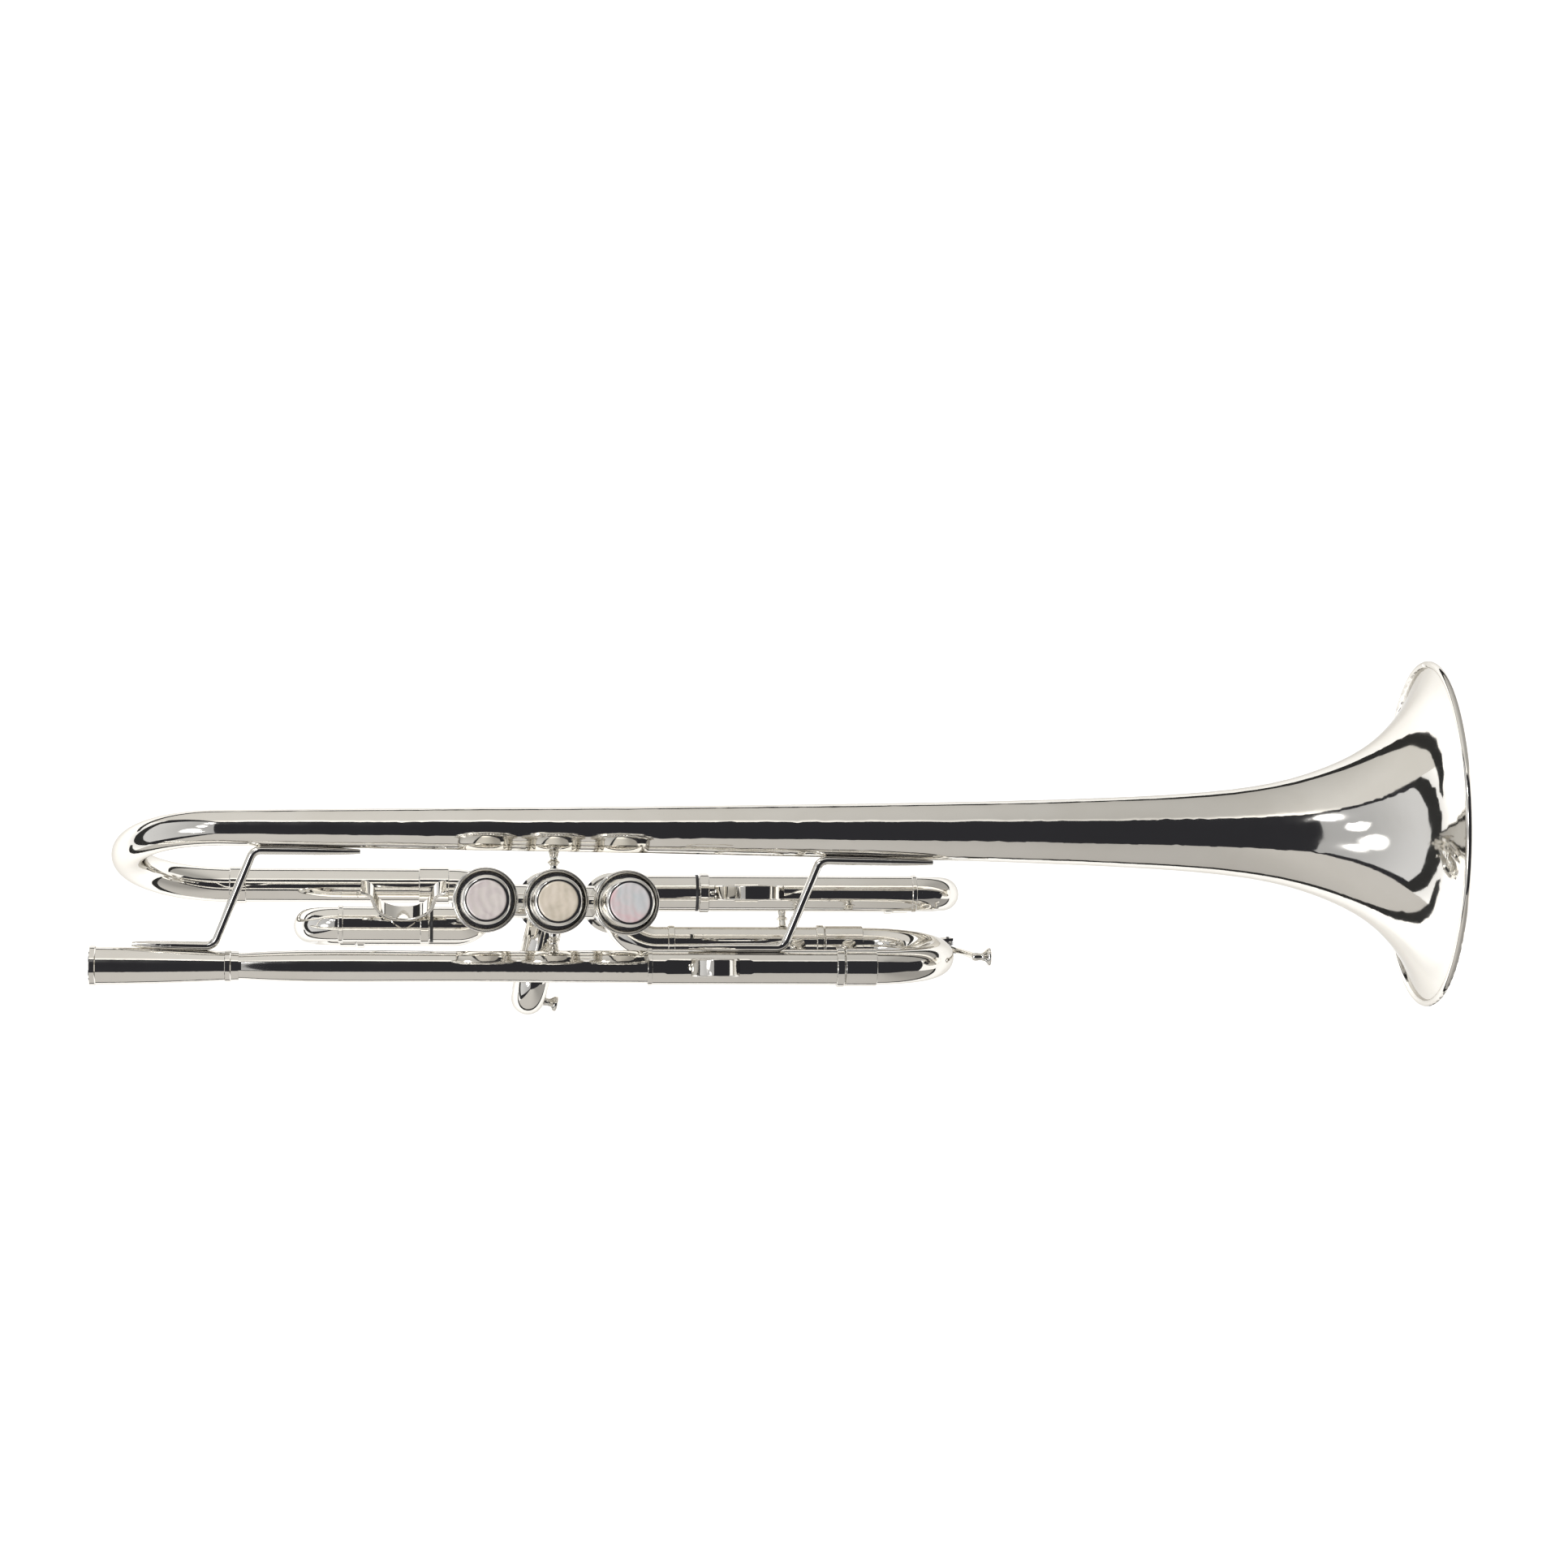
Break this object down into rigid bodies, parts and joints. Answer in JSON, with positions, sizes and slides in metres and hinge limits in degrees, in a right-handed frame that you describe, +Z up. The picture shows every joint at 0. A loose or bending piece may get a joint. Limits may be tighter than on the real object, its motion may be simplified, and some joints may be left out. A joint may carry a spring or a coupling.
{
  "type": "trumpet",
  "caption": "Silver-plated B-flat trumpet with piston valves, sprung finger buttons, sliding tuning crooks, thumb saddle, finger ring and water key; no mouthpiece.",
  "frame": {"origin": "centre of the mouthpiece receiver's open end, on the leadpipe's axis", "axes": "+X along the leadpipe towards the bell rim, +Y across to the bell tube (the player's left), +Z up out of the finger buttons"},
  "size_m": [0.472, 0.1273, 0.1546],
  "materials": {
    "silver_plate": "mirror polished silver plate",
    "nickel_silver": "polished nickel silver",
    "monel": "honed monel",
    "spring_steel": "bright drawn wire",
    "guide_brass": "turned brass",
    "brass_wire": "drawn brass",
    "mother_of_pearl": "polished iridescent shell",
    "felt": "dense wool felt",
    "cork": "cut natural cork",
    "rubber": "matte black rubber"
  },
  "bodies": {
    "trumpet_body": {"mouthpiece_receiver": "silver_plate", "leadpipe": "silver_plate", "tuning_sleeve_upper": "silver_plate", "tuning_sleeve_lower": "silver_plate", "bell": "silver_plate", "bell_rim_wire": "brass_wire", "rear_bow": "silver_plate", "bell_tail": "silver_plate", "knuckles": "silver_plate", "valve_stays": "silver_plate", "brace_rear": "silver_plate", "brace_front": "silver_plate", "finger_hook": "silver_plate", "third_slide_fixed": "silver_plate", "first_slide_fixed": "silver_plate", "second_slide_fixed": "silver_plate", "slide_bumpers": "rubber", "slide_stays": "silver_plate", "valve_casing_1": "silver_plate", "top_cap_1": "silver_plate", "bottom_cap_1": "silver_plate", "valve_guide_1": "guide_brass", "valve_spring_1": "spring_steel", "valve_casing_2": "silver_plate", "top_cap_2": "silver_plate", "bottom_cap_2": "silver_plate", "valve_guide_2": "guide_brass", "valve_spring_2": "spring_steel", "valve_casing_3": "silver_plate", "top_cap_3": "silver_plate", "bottom_cap_3": "silver_plate", "valve_guide_3": "guide_brass", "valve_spring_3": "spring_steel"},
    "piston_assembly_1": {"piston_1": "monel", "valve_stem_1": "silver_plate", "finger_button_1": "silver_plate", "button_pearl_1": "mother_of_pearl", "button_felt_1": "felt"},
    "piston_assembly_2": {"piston_2": "monel", "valve_stem_2": "silver_plate", "finger_button_2": "silver_plate", "button_pearl_2": "mother_of_pearl", "button_felt_2": "felt"},
    "piston_assembly_3": {"piston_3": "monel", "valve_stem_3": "silver_plate", "finger_button_3": "silver_plate", "button_pearl_3": "mother_of_pearl", "button_felt_3": "felt"},
    "main_tuning_slide": {"tuning_slide_legs": "nickel_silver", "tuning_crook": "silver_plate", "water_key_saddle": "silver_plate", "water_key_pin": "silver_plate", "water_key_spring": "spring_steel"},
    "water_key": {"water_key_lever": "silver_plate", "water_key_cork": "cork"},
    "first_valve_slide": {"first_slide": "silver_plate", "first_slide_saddle": "silver_plate"},
    "second_valve_slide": {"second_slide": "silver_plate"},
    "third_valve_slide": {"third_slide": "silver_plate", "third_slide_ring": "silver_plate"}
  },
  "joints": [
    {"name": "valve_1_press", "type": "slide", "parent": "trumpet_body", "child": "piston_assembly_1", "axis": [0, 0, -1], "range_m": [0, 0.016], "stiffness_N_per_m": 150, "springref_m": -0.012, "deforming": ["valve_spring_1"]},
    {"name": "valve_2_press", "type": "slide", "parent": "trumpet_body", "child": "piston_assembly_2", "axis": [0, 0, -1], "range_m": [0, 0.016], "stiffness_N_per_m": 150, "springref_m": -0.012, "deforming": ["valve_spring_2"]},
    {"name": "valve_3_press", "type": "slide", "parent": "trumpet_body", "child": "piston_assembly_3", "axis": [0, 0, -1], "range_m": [0, 0.016], "stiffness_N_per_m": 150, "springref_m": -0.012, "deforming": ["valve_spring_3"]},
    {"name": "main_tuning_pull", "type": "slide", "parent": "trumpet_body", "child": "main_tuning_slide", "axis": [1, 0, 0], "range_m": [0, 0.045]},
    {"name": "water_key_turn", "type": "hinge", "parent": "main_tuning_slide", "child": "water_key", "pos_m": [0.30411, 0.00629, -0.0392], "axis": [0, -0.9874, -0.1584], "range_deg": [0, 15], "stiffness_Nm_per_rad": 0.1, "springref_deg": -22.92},
    {"name": "first_slide_pull", "type": "slide", "parent": "trumpet_body", "child": "first_valve_slide", "axis": [-1, 0, 0], "range_m": [0, 0.022]},
    {"name": "second_slide_pull", "type": "slide", "parent": "trumpet_body", "child": "second_valve_slide", "axis": [-0.225, -0.9744, 0], "range_m": [0, 0.009]},
    {"name": "third_slide_pull", "type": "slide", "parent": "trumpet_body", "child": "third_valve_slide", "axis": [1, 0, 0], "range_m": [0, 0.04]}
  ]
}
